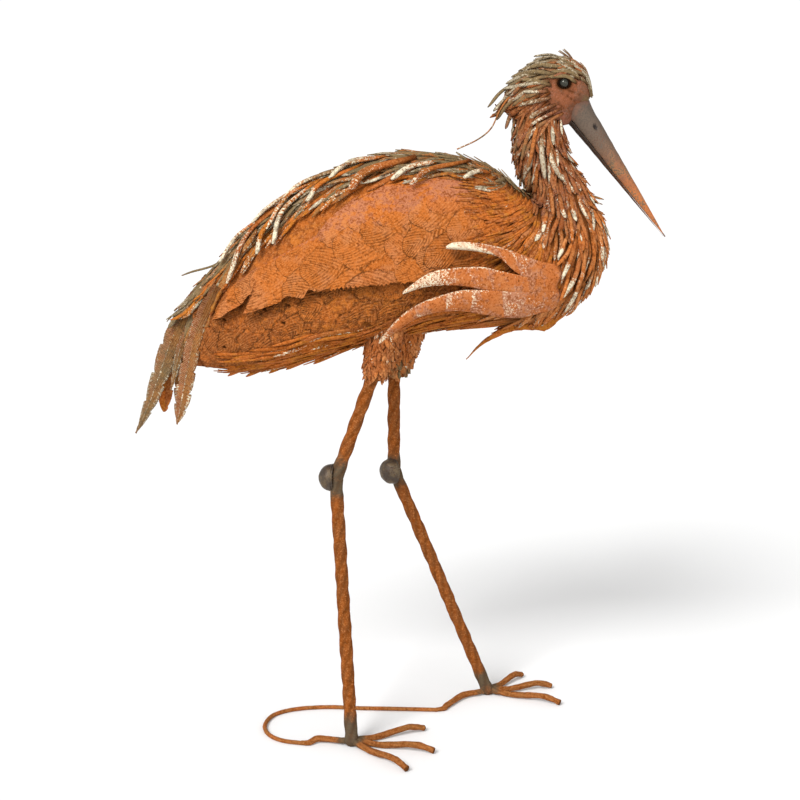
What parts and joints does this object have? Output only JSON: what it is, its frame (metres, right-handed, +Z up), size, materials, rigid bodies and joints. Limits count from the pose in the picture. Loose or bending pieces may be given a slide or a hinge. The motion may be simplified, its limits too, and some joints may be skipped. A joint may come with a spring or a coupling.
{
  "type": "wading bird garden sculpture",
  "caption": "Rusted iron garden sculpture of a long-legged wading bird with feathered body and neck, standing on its toes and a ground hoop.",
  "frame": {"origin": "on the ground, under the middle of the whole sculpture's bounding box", "axes": "+X the way the bird faces, +Y its left side, +Z up"},
  "size_m": [0.7376, 0.3414, 0.9438],
  "materials": {
    "rust_sheet": "rusted sheet iron, mottled orange and brown, with silver-grey paint dry-brushed on feather tips",
    "rust_bar": "rusted twisted bar, brown with orange patches",
    "bare_iron": "dark grey-brown oiled iron, satin",
    "beak_iron": "smooth iron, grey-brown at the root and rusted orange towards the tip",
    "eye_steel": "dark polished ball"
  },
  "bodies": {
    "root": {"torso": "rust_sheet", "neck_and_breast": "rust_sheet", "head": "rust_sheet", "beak_upper": "beak_iron", "beak_lower": "rust_bar", "crest_plume": "rust_sheet", "breast_plume": "rust_sheet", "tail_feather_long": "rust_sheet", "tail_feather_broad": "rust_sheet", "tail_feather_narrow": "rust_sheet", "tail_feather_inner": "rust_sheet", "tail_feather_far": "rust_sheet", "tail_strip_stray": "rust_sheet", "eye_right": "eye_steel", "wing_right": "rust_sheet", "wing_plume_right": "rust_sheet", "thigh_right": "rust_sheet", "upper_leg_right": "rust_bar", "lower_leg_right": "rust_bar", "knee_right": "bare_iron", "foot_hub_right": "bare_iron", "toe_inner_right": "rust_bar", "toe_middle_right": "rust_bar", "toe_outer_right": "rust_bar", "toe_hind_right": "rust_bar", "eye_left": "eye_steel", "wing_left": "rust_sheet", "wing_plume_left": "rust_sheet", "thigh_left": "rust_sheet", "upper_leg_left": "rust_bar", "lower_leg_left": "rust_bar", "knee_left": "bare_iron", "foot_hub_left": "bare_iron", "toe_inner_left": "rust_bar", "toe_middle_left": "rust_bar", "toe_outer_left": "rust_bar", "toe_hind_left": "rust_bar", "ground_hoop": "rust_bar"}
  },
  "joints": []
}
